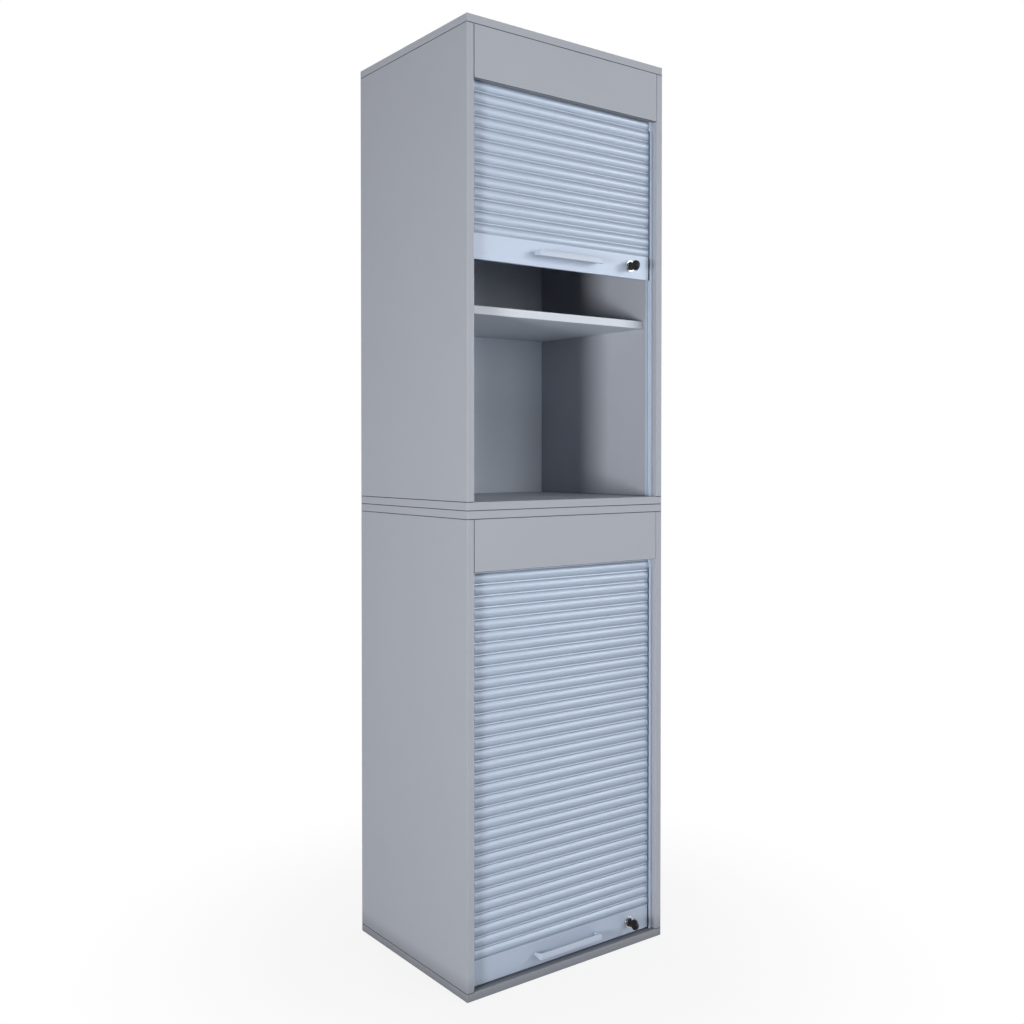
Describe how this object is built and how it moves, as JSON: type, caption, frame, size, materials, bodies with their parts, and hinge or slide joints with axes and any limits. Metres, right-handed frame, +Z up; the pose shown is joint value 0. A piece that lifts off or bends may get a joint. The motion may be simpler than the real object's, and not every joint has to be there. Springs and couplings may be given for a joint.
{
  "type": "office cabinet with roller shutters",
  "caption": "Tall grey office cabinet of stacked board modules, each closed by a horizontal-slat roller shutter with a flat end bar, bow handle and keyed cam lock.",
  "frame": {"origin": "on the floor under the middle of the boards' footprint", "axes": "+Z up, the shutters face -Y, +X to the right seen from the front"},
  "size_m": [0.5, 0.4145, 1.84],
  "materials": {
    "board": "grey melamine, satin",
    "back_board": "grey melamine, satin",
    "rail": "grey plastic",
    "spiral": "grey plastic",
    "slat": "silver grey satin",
    "bar": "satin silver",
    "glide": "dark plastic",
    "handle": "satin silver paint",
    "lock_ring": "polished",
    "lock_core": "satin",
    "lock_cam": "zinc plated",
    "key": "black plastic bow",
    "pin": "nickel plated",
    "dowel": "bare beech"
  },
  "bodies": {
    "cabinet": {"stacking_dowels": "dowel", "lower_bottom_panel": "board", "lower_top_panel": "board", "lower_left_side": "board", "lower_right_side": "board", "lower_fascia": "board", "lower_shelf": "board", "lower_back_panel": "back_board", "lower_left_rail": "rail", "lower_right_rail": "rail", "lower_left_spiral": "spiral", "lower_right_spiral": "spiral", "lower_slats": "slat", "lower_shelf_pins": "pin", "lower_carcass_dowels": "dowel", "upper_bottom_panel": "board", "upper_top_panel": "board", "upper_left_side": "board", "upper_right_side": "board", "upper_fascia": "board", "upper_shelf": "board", "upper_back_panel": "back_board", "upper_left_rail": "rail", "upper_right_rail": "rail", "upper_left_spiral": "spiral", "upper_right_spiral": "spiral", "upper_slats": "slat", "upper_shelf_pins": "pin", "upper_carcass_dowels": "dowel"},
    "lower_shutter": {"lower_end_bar": "bar", "lower_bar_glides": "glide", "lower_handle": "handle", "lower_lock_housing": "lock_ring"},
    "lower_lock_core": {"lower_lock_plug": "lock_core", "lower_lock_cam": "lock_cam", "lower_key": "key"},
    "upper_shutter": {"upper_end_bar": "bar", "upper_bar_glides": "glide", "upper_handle": "handle", "upper_lock_housing": "lock_ring"},
    "upper_lock_core": {"upper_lock_plug": "lock_core", "upper_lock_cam": "lock_cam", "upper_key": "key"}
  },
  "joints": [
    {"name": "lower_shutter_slide", "type": "slide", "parent": "cabinet", "child": "lower_shutter", "axis": [0, 0, 1], "range_m": [0, 0.74795], "deforming": ["lower_slats"]},
    {"name": "lower_key_turn", "type": "hinge", "parent": "lower_shutter", "child": "lower_lock_core", "pos_m": [0.171, -0.185, 0.04255], "axis": [0, 1, 0], "range_deg": [0, 90]},
    {"name": "upper_shutter_slide", "type": "slide", "parent": "cabinet", "child": "upper_shutter", "axis": [0, 0, 1], "range_m": [-0.454, 0.29395], "deforming": ["upper_slats"]},
    {"name": "upper_key_turn", "type": "hinge", "parent": "upper_shutter", "child": "upper_lock_core", "pos_m": [0.171, -0.185, 1.41655], "axis": [0, 1, 0], "range_deg": [0, 90]}
  ]
}
